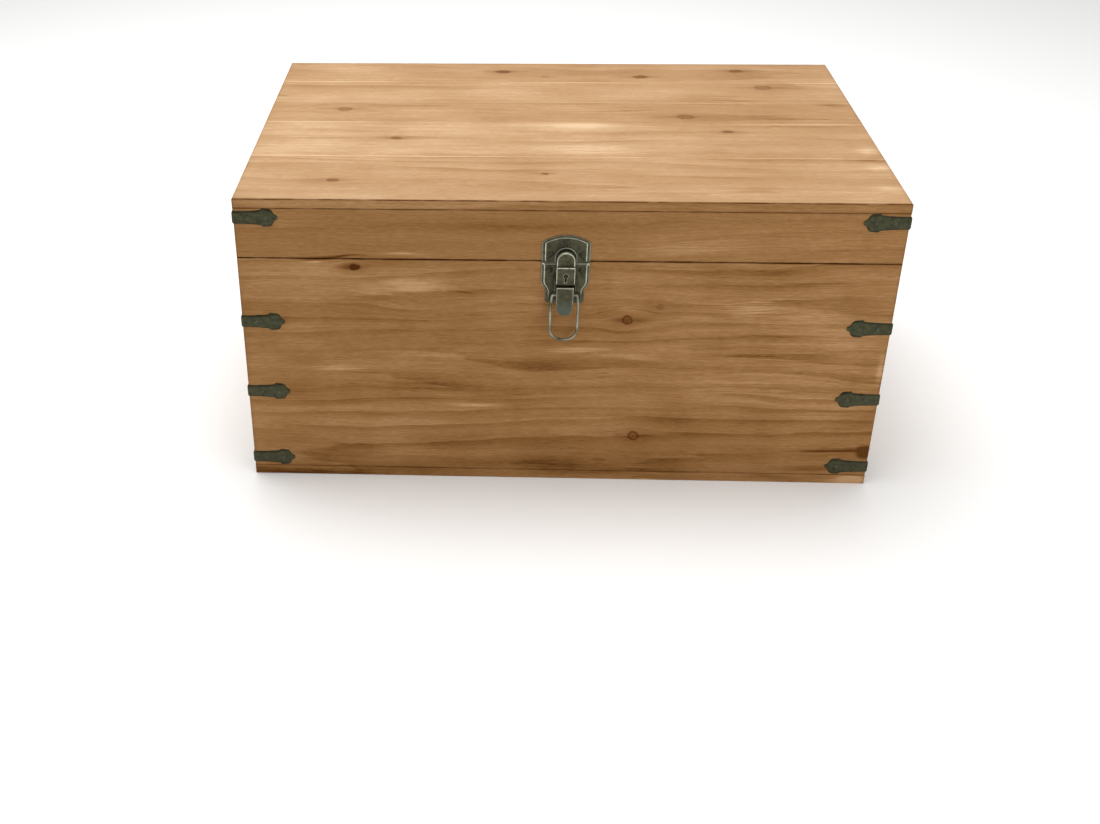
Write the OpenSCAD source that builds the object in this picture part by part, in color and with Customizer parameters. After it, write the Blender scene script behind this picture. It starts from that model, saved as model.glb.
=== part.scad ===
// Pine storage chest: edge-glued boards, a lid on two back hinges, iron corner straps,
// a folding lid stay and a keyed drop-lever latch. Millimetres, +Z up.
// The origin is on the floor, under the middle of the chest. The front faces -Y.

/* [Chest] */
// Width of the chest, left to right
chest_w = 600; // [560:5:700]
// Depth of the chest, front to back
chest_d = 400; // [360:5:460]
// Height of the chest with the lid shut
chest_h = 294; // [294:1:294]
// Height of the lid, from the seam to the top
lid_h = 58; // [58:1:58]
// Thickness of the front, back and side boards
wall_t = 11; // [10:0.5:12]
// Thickness of the top board
top_t = 9; // [8:0.5:10]
// Thickness of the bottom board
bottom_t = 10; // [9:0.5:12]
// Saw gap between the lid and the body
seam_gap = 0.6; // [0.4:0.1:1]
// Width of the boards that the walls are glued up from
plank_w = 92; // [90:1:94]

/* [Corner straps] */
// Length of each leg of a corner strap, from the chest's corner
strap_len = 42; // [40:0.5:44]
// Thickness of the strap iron
strap_t = 1.2; // [1:0.1:1.6]
// Half the width of a strap at the corner
strap_half_w = 6.1; // [5.6:0.1:6.6]
// Height of the three body straps' centres, bottom to top
strap_heights = [20, 95.5, 171];
// Height of the lid strap's centre
lid_strap_height = 276; // [274:0.5:276]

/* [Hinges] */
// Distance of each hinge's middle from the chest's middle
hinge_x = 190; // [120:5:220]
// Length of a hinge, along its pin
hinge_len = 50; // [45:5:60]
// Radius of the hinge knuckles
knuckle_r = 3; // [2.8:0.1:3.2]
// Radius of the hinge pins
hinge_pin_r = 1.25; // [1:0.05:1.4]

/* [Latch] */
// Half the width of the latch's two plates
plate_half_w = 22; // [21:0.5:23]
// Thickness of the latch's sheet metal
sheet_t = 1; // [0.8:0.1:1.2]
// Height of the plates' raised panels over the wood
panel_w = 2.4; // [2.2:0.1:2.4]
// Radius of the bail's wire
wire_r = 1.25; // [1.1:0.05:1.3]
// Travel of the lock's bolt
bolt_travel = 4.2; // [4:0.1:4.2]

/* [Hidden] */
$fn = 48;
half_w = chest_w / 2;
half_d = chest_d / 2;
seam_z = chest_h - lid_h;           // where the body's rim is
lid_z = seam_z + seam_gap;          // where the lid's rim is
top_z = chest_h - top_t;            // underside of the top board
hair = 0.01;                        // keeps cuts from sharing a face
running = 0.05;                     // radial clearance of a pin that turns in its hole
seated = 0.02;                      // radial clearance of a pin that is fixed in its hole

// Board edges: the walls are three boards high, and the lid is sawn from the highest one.
wall_seams = [bottom_t, bottom_t + plank_w, bottom_t + 2 * plank_w, seam_z];
top_seams = [-half_d, -92, 3, 66, 133, half_d];

// Hinge: its axis lies behind the back face, level with the seam.
knuckle_gap = 0.3;                  // from the back face to the knuckles
hinge_y = half_d + knuckle_gap + knuckle_r;
knuckles = 5;
knuckle_len = hinge_len / knuckles;
leaf_t = 1.5;
leaf_h = 22;
leaf_screw_pitch = 17;

// Lid stay: a parallelogram with the hinge axis, so its arms keep step with the lid.
// Points are [distance in front of the hinge axis, height over it].
stay_body = [50, -60];
stay_lid = [88, 15];
stay_elbow = stay_body + stay_lid;
stay_plate_t = 1.5;
stay_body_screws_at = [[-9.5, 0], [0, -9.5]];   // behind and under the stud, clear of the lower arm
stay_lid_screws_at = [[-9.5, 0], [9.5, 0]];
arm_t = 2;
arm_half_w = 5;
arm_gap = 0.3;
stay_pin_r = 2.5;
stay_wall = half_w - wall_t;        // inner face of the right wall
lower_arm_x = stay_wall - stay_plate_t - arm_gap - arm_t;
upper_arm_x = lower_arm_x - arm_gap - arm_t;

// Latch: heights are over the floor, and w is the distance out from the front face.
strike_bottom = 235.4;
strike_side_top = 254.6;
strike_top = 261.8;
base_top = 235;
base_bottom = 194.7;
base_leg_half_w = 17.8;
base_flare = [207, 217];            // between these heights the base narrows to its legs
rim = 2.6;                          // width of the sloped rim around each raised panel
arch_r = 10.2;
arch_z = 241;
arch_wall = 1.3;
arch_w = 4.4;
hood_r = 8.5;                       // rounded top of the hook
hood_z = 239.9;
hook_pivot = [6.8, 219.8];          // [w, z]
lever_pivot = [7.5, 212];
bail_pivot = [6.8, 205.5];
latch_pin_r = 1.1;
face_w = [8, 9.2];                  // front sheet of the hook, from w to w
case_w = 11.8;
case_z = [216.7, 234.6];
case_chamfer = 2.4;
hook_flange_x = [7.3, 8.5];
hook_flange_w = 4.6;
ear_x = [8.9, 10.1];
lever_x = [6.6, 7.8];
lever_w = [8.8, 10];
lever_flange_w = 4.6;
lever_top = 213.9;
lever_bend = 197;                   // below this height the thumb tab leans out
tab_lean = 2.4;                     // how far the tab's end stands out from the strip
tab_r = 7.2;
tab_z = 193.9;                      // middle of the tab's round end
lip_w = 5.6;
lip_z = [245.2, 247];
catch_gap_x = [3.2, 6.8];           // the two lips and the two catch noses lie between these
nose_w = 4.9;
nose_z = [241, 244.2];
blade_half_t = 1.3;
blade_w = [3, 4.2];
foot_w = 6.8;
foot_z = [222.5, 225.7];
bolt_w = 6.6;
bolt_z = 227.5;
bolt_r = 1.2;
bolt_len = 5;
bolt_tip_x = bolt_travel - 2.1;     // the bolt drawn back; thrown, its tip is 2.1 past the middle
bolt_x = [bolt_tip_x, bolt_tip_x + bolt_len];
guide_x = [1.9, 3.3];
guide_half_h = 2.2;
key_z = 226.4;
key_eye_r = 2;
key_slot_half_w = 0.9;
key_slot_bottom = 220.4;
screw_r = 1.5;
strike_screws_at = [[0, 255.9], [-14.7, 243.7], [14.7, 243.7]];
base_screws_at = [[-14.7, 228.5], [14.7, 228.5], [0, 200.5]];
bail_shoulder_x = 11.4;
bail_half_w = 12.6;
bail_bend_r = 11;
bail_bottom = 159.8;                // centre of the wire at the bottom
bail_widen_z = 196;
knee_r = wire_r + 0.08;             // the wire is a touch thicker where it bends

iron = "#39403a";
bronze = "#5b5d4f";
steel = "#8b8f88";
pine_front = "#a5754a";
pine_side = "#a87a4e";
pine_top = "#cfa273";
pine_inside = "#c39a6c";

// ---- Placing helpers ----

// A 2D shape in [x, z], raised from the front face between two distances out.
module on_front(from, to) {
    translate([0, -half_d - from, 0]) rotate([90, 0, 0]) linear_extrude(to - from) children();
}

// A 2D shape in [w, z], extruded along X between two places.
module across(from, to) {
    translate([from, -half_d, 0]) mirror([0, 1, 0]) rotate([90, 0, 90]) linear_extrude(to - from) children();
}

// The same on both sides of the latch's middle.
module both_sides() {
    children();
    mirror([1, 0, 0]) children();
}

// A rod along X at [w, z].
module rod(at, r, from, to) {
    translate([from, -half_d - at[0], at[1]]) rotate([0, 90, 0]) cylinder(r = r, h = to - from);
}

// A stay shape drawn in [distance in front of the hinge, height over it], extruded along X.
module beside_wall(from, to) {
    translate([from, hinge_y, seam_z]) mirror([0, 1, 0]) rotate([90, 0, 90])
        linear_extrude(to - from) children();
}

// ---- Boards ----

module board(low, high, tone) {
    color(tone) translate(low) cube(high - low);
}

module front_board(z0, z1) {
    board([-half_w, -half_d, z0], [half_w, -half_d + wall_t, z1], pine_front);
}

module back_board(z0, z1) {
    board([-half_w, half_d - wall_t, z0], [half_w, half_d, z1], pine_front);
}

module left_board(z0, z1) {
    board([-half_w, -half_d + wall_t, z0], [-half_w + wall_t, half_d - wall_t, z1], pine_side);
}

module right_board(z0, z1) {
    board([half_w - wall_t, -half_d + wall_t, z0], [half_w, half_d - wall_t, z1], pine_side);
}

module top_board(i) {
    board([-half_w, top_seams[i], top_z], [half_w, top_seams[i + 1], chest_h], pine_top);
}

module bottom_board() {
    board([-half_w, -half_d, 0], [half_w, half_d, bottom_t], pine_inside);
}

// ---- Corner straps ----

strap_nails_at = [13, 29.5];        // along a leg, from the chest's corner

// One leg's outline: it widens to two side lobes, a rounded head and a pointed bud.
module strap_outline() {
    lobe_at = strap_len - 12.8;
    polygon([[0, -strap_half_w], [lobe_at, -strap_half_w - 1.2],
             [lobe_at, strap_half_w + 1.2], [0, strap_half_w]]);
    translate([lobe_at, 0]) circle(r = 8.1);
    for (side = [-1, 1]) translate([lobe_at, side * 6.9]) circle(r = 2.2);
    translate([strap_len - 3.6, 0]) circle(r = 2.4);
    polygon([[strap_len - 3, -2.2], [strap_len, 0], [strap_len - 3, 2.2]]);
}

// A strap leg lying in the plane X, Z, starting at the corner and running towards +X.
module strap_leg() {
    rotate([90, 0, 0]) difference() {
        linear_extrude(strap_t) strap_outline();
        for (s = strap_nails_at) translate([s, 0, -hair]) cylinder(r = 1, h = strap_t + 2 * hair);
    }
}

// The whole strap around the chest's corner at the origin, with its legs towards +X and +Y.
module strap() {
    color(iron) {
        strap_leg();
        rotate([0, 0, 90]) mirror([0, 1, 0]) strap_leg();
        translate([-strap_t, -strap_t, -strap_half_w]) cube([strap_t, strap_t, 2 * strap_half_w]);
    }
}

// Mirrors its children from the front left corner to corner [x side, y side].
module at_corner(sx, sy) {
    mirror([sx > 0 ? 1 : 0, 0, 0]) mirror([0, sy > 0 ? 1 : 0, 0]) translate([-half_w, -half_d, 0]) children();
}

module body_straps(sx, sy) {
    at_corner(sx, sy) for (z = strap_heights) translate([0, 0, z]) strap();
}

module lid_strap(sx, sy) {
    at_corner(sx, sy) translate([0, 0, lid_strap_height]) strap();
}

// A round-headed nail driven towards +Y, its head resting on the plane y = 0.
module nail() {
    head_r = 2;
    head_h = 0.9;
    cap_r = (head_r * head_r + head_h * head_h) / (2 * head_h);
    rotate([90, 0, 0]) {
        intersection() {
            translate([0, 0, head_h - cap_r]) sphere(r = cap_r);
            cylinder(r = head_r + 1, h = head_h + 1);
        }
        translate([0, 0, -9]) cylinder(r = 0.9, h = 9.2);
    }
}

module strap_nails() {
    for (s = strap_nails_at) {
        translate([s, -strap_t, 0]) nail();
        translate([-strap_t, s, 0]) rotate([0, 0, -90]) nail();
    }
}

module nails_at(heights) {
    color(iron) for (sx = [-1, 1], sy = [-1, 1], z = heights)
        at_corner(sx, sy) translate([0, 0, z]) strap_nails();
}

// ---- Hinges ----

// A round-headed screw with a cross recess, driven towards +Y, its head resting on y = 0.
module screw(r, head_r, head_h, length) {
    cap_r = (head_r * head_r + head_h * head_h) / (2 * head_h);
    rotate([90, 0, 0]) difference() {
        union() {
            intersection() {
                translate([0, 0, head_h - cap_r]) sphere(r = cap_r);
                cylinder(r = head_r + 1, h = head_h + 1);
            }
            translate([0, 0, -length]) cylinder(r = r, h = length + 0.2);
        }
        for (a = [0, 90]) rotate([0, 0, a])
            translate([-head_r * 0.55, -0.35, head_h - 0.7]) cube([head_r * 1.1, 0.7, 2]);
    }
}

// One hinge leaf at the middle of the chest. up is 1 for the lid's leaf and -1 for the body's.
module hinge_leaf(up, first) {
    near = knuckle_r + 0.6;
    color(bronze) difference() {
        union() {
            translate([-hinge_len / 2, half_d, up > 0 ? seam_z + near : seam_z - leaf_h])
                cube([hinge_len, leaf_t, leaf_h - near]);
            for (i = [first : 2 : knuckles - 1]) translate([-hinge_len / 2 + i * knuckle_len + 0.1, 0, 0]) {
                long = knuckle_len - 0.2;
                translate([0, hinge_y, seam_z]) rotate([0, 90, 0]) cylinder(r = knuckle_r, h = long);
                translate([0, half_d, up > 0 ? lid_z : seam_z - near - hair])
                    cube([long, hinge_y - half_d, up > 0 ? near - seam_gap + hair : near + hair]);
            }
        }
        translate([-hinge_len, hinge_y, seam_z]) rotate([0, 90, 0])
            cylinder(r = hinge_pin_r + running, h = 2 * hinge_len);
        for (i = [-1 : 1]) translate([i * leaf_screw_pitch, half_d - hair, seam_z + up * 13])
            rotate([-90, 0, 0]) cylinder(r = 1.45, h = leaf_t + 2 * hair);
    }
}

module hinge_pins() {
    color(steel) for (side = [-1, 1]) translate([side * hinge_x - hinge_len / 2 - 0.6, hinge_y, seam_z])
        rotate([0, 90, 0]) cylinder(r = hinge_pin_r, h = hinge_len + 1.2);
}

module hinge_screws(up) {
    color(bronze) for (side = [-1, 1], i = [-1 : 1])
        translate([side * hinge_x + i * leaf_screw_pitch, half_d + leaf_t, seam_z + up * 13])
            rotate([0, 0, 180]) screw(1.4, 2.8, 1.2, 9.5);
}

// ---- Lid stay ----

// An arm with round ends and a hole at each, from one point to another.
module stay_arm(from, to, x, hole_from, hole_to) {
    run = to - from;
    long = norm(run);
    color(steel) difference() {
        beside_wall(x, x + arm_t) translate(from) rotate(atan2(run[1], run[0])) {
            circle(r = arm_half_w);
            translate([long, 0]) circle(r = arm_half_w);
            translate([0, -arm_half_w]) square([long, 2 * arm_half_w]);
        }
        beside_wall(x - 1, x + arm_t + 1) translate(from) circle(r = hole_from);
        beside_wall(x - 1, x + arm_t + 1) translate(to) circle(r = hole_to);
    }
}

// A fixing plate on the right wall: a headed stud for an arm, and a lobe for each screw.
// arm_x is the arm's face towards the middle, and screws_at are places seen from the stud.
module stay_plate(at, arm_x, screws_at) {
    lobe_r = 5.5;
    color(steel) difference() {
        union() {
            beside_wall(stay_wall - stay_plate_t, stay_wall) translate(at) {
                circle(r = lobe_r);
                for (s = screws_at) {
                    translate(s) circle(r = lobe_r);
                    rotate(atan2(s[1], s[0])) translate([0, -lobe_r]) square([norm(s), 2 * lobe_r]);
                }
            }
            beside_wall(arm_x - arm_gap, stay_wall - hair) translate(at) circle(r = stay_pin_r);
            beside_wall(arm_x - arm_gap - 1, arm_x - arm_gap) translate(at) circle(r = stay_pin_r + 1.5);
            beside_wall(arm_x + arm_t + arm_gap, stay_wall - hair) translate(at) circle(r = stay_pin_r + 1.5);
        }
        for (s = screws_at) beside_wall(stay_wall - 3, stay_wall + 1) translate(at + s) circle(r = 1.45);
    }
}

module stay_screws(at, screws_at) {
    color(steel) for (s = screws_at)
        translate([stay_wall - stay_plate_t, hinge_y - at[0] - s[0], seam_z + at[1] + s[1]])
            rotate([0, 0, -90]) screw(1.4, 2.8, 1.2, 9);
}

module stay_elbow_rivet() {
    color(steel) {
        beside_wall(upper_arm_x - arm_gap, lower_arm_x + arm_t) translate(stay_elbow) circle(r = stay_pin_r);
        beside_wall(upper_arm_x - arm_gap - 1, upper_arm_x - arm_gap)
            translate(stay_elbow) circle(r = stay_pin_r + 1.5);
    }
}

// ---- Latch, on the lid ----

// The strike's outline: straight sides under an arched top, drawn in by an inset.
module strike_outline(inset, lift) {
    rise = strike_top - strike_side_top;
    arc_r = (plate_half_w * plate_half_w + rise * rise) / (2 * rise);
    intersection() {
        translate([-plate_half_w + inset, strike_bottom + lift])
            square([2 * (plate_half_w - inset), strike_top - strike_bottom]);
        translate([0, strike_top - arc_r]) circle(r = arc_r - inset, $fn = 160);
    }
}

// An arch standing on the strike's lower edge.
module arch_outline(r) {
    intersection() {
        union() {
            translate([0, arch_z]) circle(r = r);
            translate([-r, strike_bottom]) square([2 * r, arch_z - strike_bottom]);
        }
        translate([-plate_half_w, strike_bottom + 0.6])
            square([2 * plate_half_w, strike_top - strike_bottom]);
    }
}

module strike_plate() {
    color(bronze) difference() {
        union() {
            on_front(0, sheet_t) strike_outline(0, 0);
            on_front(0, panel_w) strike_outline(rim, 0.6);
            on_front(panel_w - hair, arch_w) difference() {
                arch_outline(arch_r);
                translate([-arch_r + arch_wall, 0]) square([2 * (arch_r - arch_wall), arch_z]);
                translate([0, arch_z]) circle(r = arch_r - arch_wall);
            }
        }
        on_front(-hair, panel_w - sheet_t) strike_outline(rim + sheet_t, 0.6 + sheet_t);
        for (at = strike_screws_at) on_front(-1, 5) translate(at) circle(r = screw_r + 0.1);
    }
}

// The catch riveted to the strike: two noses for the hook's lips and a blade for the bolt.
module strike_catch() {
    color(bronze) {
        both_sides() on_front(panel_w, nose_w)
            translate([catch_gap_x[0], nose_z[0]])
                square([catch_gap_x[1] - catch_gap_x[0], nose_z[1] - nose_z[0]]);
        on_front(panel_w, blade_w[1])
            translate([-catch_gap_x[1], strike_bottom + 1])
                square([2 * catch_gap_x[1], nose_z[1] - strike_bottom - 1]);
        across(-blade_half_t, blade_half_t) {
            translate([blade_w[0], foot_z[0]]) square([blade_w[1] - blade_w[0], nose_z[1] - foot_z[0]]);
            translate([blade_w[0], foot_z[0]]) square([foot_w - blade_w[0], foot_z[1] - foot_z[0]]);
        }
    }
}

module latch_screws(places) {
    color(bronze) for (at = places)
        translate([at[0], -half_d - panel_w, at[1]]) screw(screw_r, 3.1, 1.5, 10.4);
}

// ---- Latch, on the body ----

// Half width of the base plate at a height: full above the flare, and leg width below it.
function flare_share(z) = let (t = (z - base_flare[0]) / (base_flare[1] - base_flare[0])) t * t * (3 - 2 * t);
function base_half_w(z) = base_leg_half_w + (plate_half_w - base_leg_half_w) * flare_share(z);

module base_outline(inset, drop) {
    corner_r = 3;
    flare = [for (i = [0 : 10]) base_flare[0] + (base_flare[1] - base_flare[0]) * i / 10];
    side = concat([for (z = flare) [base_half_w(z) - inset, z]], [[plate_half_w - inset, base_top - drop]]);
    across_top = concat(side, [for (i = [len(side) - 1 : -1 : 0]) [-side[i][0], side[i][1]]]);
    leg = base_leg_half_w - inset;
    polygon(across_top);
    translate([-leg, base_bottom + inset + corner_r])
        square([2 * leg, base_flare[0] - base_bottom - inset - corner_r]);
    translate([-leg + corner_r, base_bottom + inset]) square([2 * (leg - corner_r), corner_r + 1]);
    for (s = [-1, 1]) translate([s * (leg - corner_r), base_bottom + inset + corner_r]) circle(r = corner_r);
}

module ear_outline() {
    polygon([[1.4, 207.5], [4.4, 207.5], [8.6, 209.3], [9.7, 212], [9.2, 221], [6.2, 223.2], [1.4, 223.5]]);
}

module latch_base() {
    color(bronze) difference() {
        union() {
            difference() {
                union() {
                    on_front(0, sheet_t) base_outline(0, 0);
                    on_front(0, panel_w) base_outline(rim, 0.6);
                }
                on_front(-hair, panel_w - sheet_t) base_outline(rim + sheet_t, 0.6 + sheet_t);
            }
            both_sides() across(ear_x[0], ear_x[1]) ear_outline();
        }
        for (at = base_screws_at) on_front(-1, 5) translate(at) circle(r = screw_r + 0.1);
        for (at = [hook_pivot, lever_pivot]) rod(at, latch_pin_r + seated, -12, 12);
    }
}

module latch_pin(at) {
    color(steel) {
        rod(at, latch_pin_r, -ear_x[1] - 0.2, ear_x[1] + 0.2);
        both_sides() rod(at, latch_pin_r + 0.7, ear_x[1] + 0.1, ear_x[1] + 0.8);
    }
}

// The draw hook: a rounded front sheet with side flanges, two lips and the bolt's guides.
module latch_hook() {
    color(bronze) difference() {
        union() {
            on_front(face_w[0], face_w[1]) {
                translate([0, hood_z]) circle(r = hood_r);
                translate([-hood_r, case_z[0]]) square([2 * hood_r, hood_z - case_z[0]]);
            }
            both_sides() {
                across(hook_flange_x[0], hook_flange_x[1])
                    translate([hook_flange_w, case_z[0] + 0.2])
                        square([face_w[0] - hook_flange_w + hair, 21]);
                on_front(lip_w, face_w[0] + hair)
                    translate([catch_gap_x[0], lip_z[0]]) square([1.6, lip_z[1] - lip_z[0]]);
                across(guide_x[0], guide_x[1])
                    translate([bolt_w - guide_half_h, bolt_z - guide_half_h])
                        square([face_w[0] - bolt_w + guide_half_h + hair, 2 * guide_half_h]);
            }
        }
        rod(hook_pivot, latch_pin_r + running, -9, 9);
        rod([bolt_w, bolt_z], bolt_r + running, -hook_flange_x[0], hook_flange_x[0]);
        on_front(face_w[0] - hair, face_w[1] + hair) keyhole();
    }
}

module keyhole() {
    translate([0, key_z]) circle(r = key_eye_r);
    translate([-key_slot_half_w, key_slot_bottom]) square([2 * key_slot_half_w, key_z - key_slot_bottom]);
}

// The lock's box on the front of the hook, with a chamfered lower edge and the keyhole.
module lock_case() {
    inner_half_w = hood_r - 1;
    color(bronze) difference() {
        across(-hood_r, hood_r) polygon([[face_w[1], case_z[0]], [case_w - case_chamfer, case_z[0]],
            [case_w, case_z[0] + case_chamfer], [case_w, case_z[1]], [face_w[1], case_z[1]]]);
        on_front(face_w[1] - hair, case_w - 1) translate([-inner_half_w, case_z[0] + 1.6])
            square([2 * inner_half_w, case_z[1] - case_z[0] - 2.6]);
        on_front(face_w[1], case_w + 1) keyhole();
    }
}

// The post that a hollow key turns on, fixed behind the keyhole by a small bridge.
module key_post() {
    color(steel) {
        on_front(face_w[0] + 0.2, case_w - 0.4) translate([0, key_z]) circle(r = 0.6);
        on_front(face_w[0] - 0.8, face_w[0]) translate([-3, key_z - 2.6]) square([6, 0.8]);
        on_front(face_w[0] - 0.8, face_w[0] + 0.3) translate([-0.6, key_z - 2.6]) square([1.2, 2.2]);
    }
}

module lock_bolt() {
    color(steel) rod([bolt_w, bolt_z], bolt_r, bolt_x[0], bolt_x[1]);
}

// The thumb lever: a strip with side flanges, whose round-ended tab leans out at the bottom.
module latch_lever() {
    tab_end = tab_z - tab_r;
    color(bronze) difference() {
        union() {
            intersection() {
                across(-lever_x[1], lever_x[1]) polygon([[lever_w[0], lever_top], [lever_w[1], lever_top],
                    [lever_w[1], lever_bend], [lever_w[1] + tab_lean, tab_end],
                    [lever_w[0] + tab_lean, tab_end], [lever_w[0], lever_bend]]);
                on_front(0, 20) {
                    translate([0, tab_z]) circle(r = tab_r);
                    polygon([[-lever_x[1], lever_top + 1], [-lever_x[1], lever_bend],
                        [-tab_r + 0.3, tab_z - 1], [tab_r - 0.3, tab_z - 1],
                        [lever_x[1], lever_bend], [lever_x[1], lever_top + 1]]);
                }
            }
            both_sides() across(lever_x[0], lever_x[1]) translate([lever_flange_w, lever_bend + 2])
                square([lever_w[0] - lever_flange_w + hair, lever_top - lever_bend - 2.2]);
        }
        rod(lever_pivot, latch_pin_r + running, -9, 9);
        rod(bail_pivot, wire_r + running, -9, 9);
    }
}

// The wire bail: two stubs in the lever's flanges, sloping shoulders and a U with a short flat foot.
module latch_bail() {
    w = bail_pivot[0];
    foot_half = bail_half_w - bail_bend_r;
    slope = [bail_half_w - bail_shoulder_x, bail_widen_z - bail_pivot[1]];
    color(steel) {
        both_sides() {
            rod(bail_pivot, wire_r, lever_x[0], bail_shoulder_x);
            translate([bail_shoulder_x, -half_d - w, bail_pivot[1]]) {
                sphere(r = knee_r);
                rotate([0, 90 - atan2(slope[1], slope[0]), 0]) cylinder(r = wire_r, h = norm(slope));
            }
            translate([bail_half_w, -half_d - w, bail_widen_z]) sphere(r = knee_r);
            translate([bail_half_w, -half_d - w, bail_bottom + bail_bend_r])
                cylinder(r = wire_r, h = bail_widen_z - bail_bottom - bail_bend_r);
            translate([foot_half, -half_d - w, bail_bottom + bail_bend_r]) rotate([90, 0, 0])
                rotate([0, 0, -90]) rotate_extrude(angle = 90) translate([bail_bend_r, 0]) circle(r = wire_r);
        }
        rod([w, bail_bottom], wire_r, -foot_half, foot_half);
    }
}

// ---- Nodes ----

bottom_board();
front_board(wall_seams[0], wall_seams[1]);  // front_board_low
front_board(wall_seams[1], wall_seams[2]);  // front_board_mid
front_board(wall_seams[2], wall_seams[3]);  // front_board_high
back_board(wall_seams[0], wall_seams[1]);  // back_board_low
back_board(wall_seams[1], wall_seams[2]);  // back_board_mid
back_board(wall_seams[2], wall_seams[3]);  // back_board_high
left_board(wall_seams[0], wall_seams[1]);  // left_board_low
left_board(wall_seams[1], wall_seams[2]);  // left_board_mid
left_board(wall_seams[2], wall_seams[3]);  // left_board_high
right_board(wall_seams[0], wall_seams[1]);  // right_board_low
right_board(wall_seams[1], wall_seams[2]);  // right_board_mid
right_board(wall_seams[2], wall_seams[3]);  // right_board_high
top_board(0);  // top_board_1
top_board(1);  // top_board_2
top_board(2);  // top_board_3
top_board(3);  // top_board_4
top_board(4);  // top_board_5
front_board(lid_z, top_z);  // lid_front_board
back_board(lid_z, top_z);  // lid_back_board
left_board(lid_z, top_z);  // lid_left_board
right_board(lid_z, top_z);  // lid_right_board
body_straps(-1, -1);  // front_left_straps
body_straps(1, -1);  // front_right_straps
body_straps(-1, 1);  // back_left_straps
body_straps(1, 1);  // back_right_straps
lid_strap(-1, -1);  // lid_front_left_strap
lid_strap(1, -1);  // lid_front_right_strap
lid_strap(-1, 1);  // lid_back_left_strap
lid_strap(1, 1);  // lid_back_right_strap
nails_at(strap_heights);  // body_strap_nails
nails_at([lid_strap_height]);  // lid_strap_nails
translate([-hinge_x, 0, 0]) hinge_leaf(-1, 0);  // left_hinge_body_leaf
translate([hinge_x, 0, 0]) hinge_leaf(-1, 0);  // right_hinge_body_leaf
translate([-hinge_x, 0, 0]) hinge_leaf(1, 1);  // left_hinge_lid_leaf
translate([hinge_x, 0, 0]) hinge_leaf(1, 1);  // right_hinge_lid_leaf
hinge_pins();
hinge_screws(-1);  // hinge_body_screws
hinge_screws(1);  // hinge_lid_screws
stay_plate(stay_body, lower_arm_x, stay_body_screws_at);  // stay_body_plate
stay_plate(stay_lid, upper_arm_x, stay_lid_screws_at);  // stay_lid_plate
stay_arm(stay_body, stay_elbow, lower_arm_x, stay_pin_r + running, stay_pin_r + seated);  // stay_lower_arm
stay_arm(stay_lid, stay_elbow, upper_arm_x, stay_pin_r + running, stay_pin_r + 2 * running);  // stay_upper_arm
stay_elbow_rivet();
stay_screws(stay_body, stay_body_screws_at);  // stay_body_screws
stay_screws(stay_lid, stay_lid_screws_at);  // stay_lid_screws
strike_plate();
strike_catch();
latch_screws(strike_screws_at);  // strike_screws
latch_base();
latch_screws(base_screws_at);  // latch_base_screws
latch_hook();
latch_pin(hook_pivot);  // hook_pin
lock_case();
key_post();
lock_bolt();
latch_lever();
latch_pin(lever_pivot);  // lever_pin
latch_bail();
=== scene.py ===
"""Looks of the pine storage chest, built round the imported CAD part.

Boards, corner straps and the latch's pressed plates are meshes made here, each standing for its CAD node.
The small steel pieces are the CAD nodes themselves, with softened, worn edges. All finishes are procedural.
Lengths are in millimetres, apart from the points of finished meshes, which are in metres like the frame.
"""

import math
import random
from collections import namedtuple

import bmesh
import bpy
import numpy as np
from mathutils import Matrix, Vector, noise


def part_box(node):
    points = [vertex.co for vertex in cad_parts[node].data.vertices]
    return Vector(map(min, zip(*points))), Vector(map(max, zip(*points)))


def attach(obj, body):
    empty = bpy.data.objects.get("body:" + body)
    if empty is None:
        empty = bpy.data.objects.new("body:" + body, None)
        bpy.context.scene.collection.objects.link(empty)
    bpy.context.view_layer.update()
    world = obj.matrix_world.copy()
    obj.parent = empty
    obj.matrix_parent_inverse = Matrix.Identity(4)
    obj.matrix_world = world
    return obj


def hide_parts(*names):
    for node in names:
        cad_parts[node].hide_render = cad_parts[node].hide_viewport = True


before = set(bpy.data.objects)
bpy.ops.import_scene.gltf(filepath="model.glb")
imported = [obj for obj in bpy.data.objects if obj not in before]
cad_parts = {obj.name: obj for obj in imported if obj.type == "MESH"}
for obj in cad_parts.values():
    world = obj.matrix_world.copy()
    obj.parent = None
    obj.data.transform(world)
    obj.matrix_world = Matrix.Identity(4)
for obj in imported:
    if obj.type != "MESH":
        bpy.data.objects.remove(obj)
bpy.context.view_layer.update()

MM = 0.001
AXES = "xyz"

# The chest's main places in metres, as its boards have them.
HALF_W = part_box("bottom_board")[1].x
HALF_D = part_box("bottom_board")[1].y
SEAM_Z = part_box("front_board_high")[1].z
TOP_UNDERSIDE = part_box("top_board_1")[0].z
FRONT = -HALF_D


def third_axis(a, b):
    """The axis that is neither a nor b."""
    return next(axis for axis in AXES if axis not in (a, b))


# ---- Shader helpers ----


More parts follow.
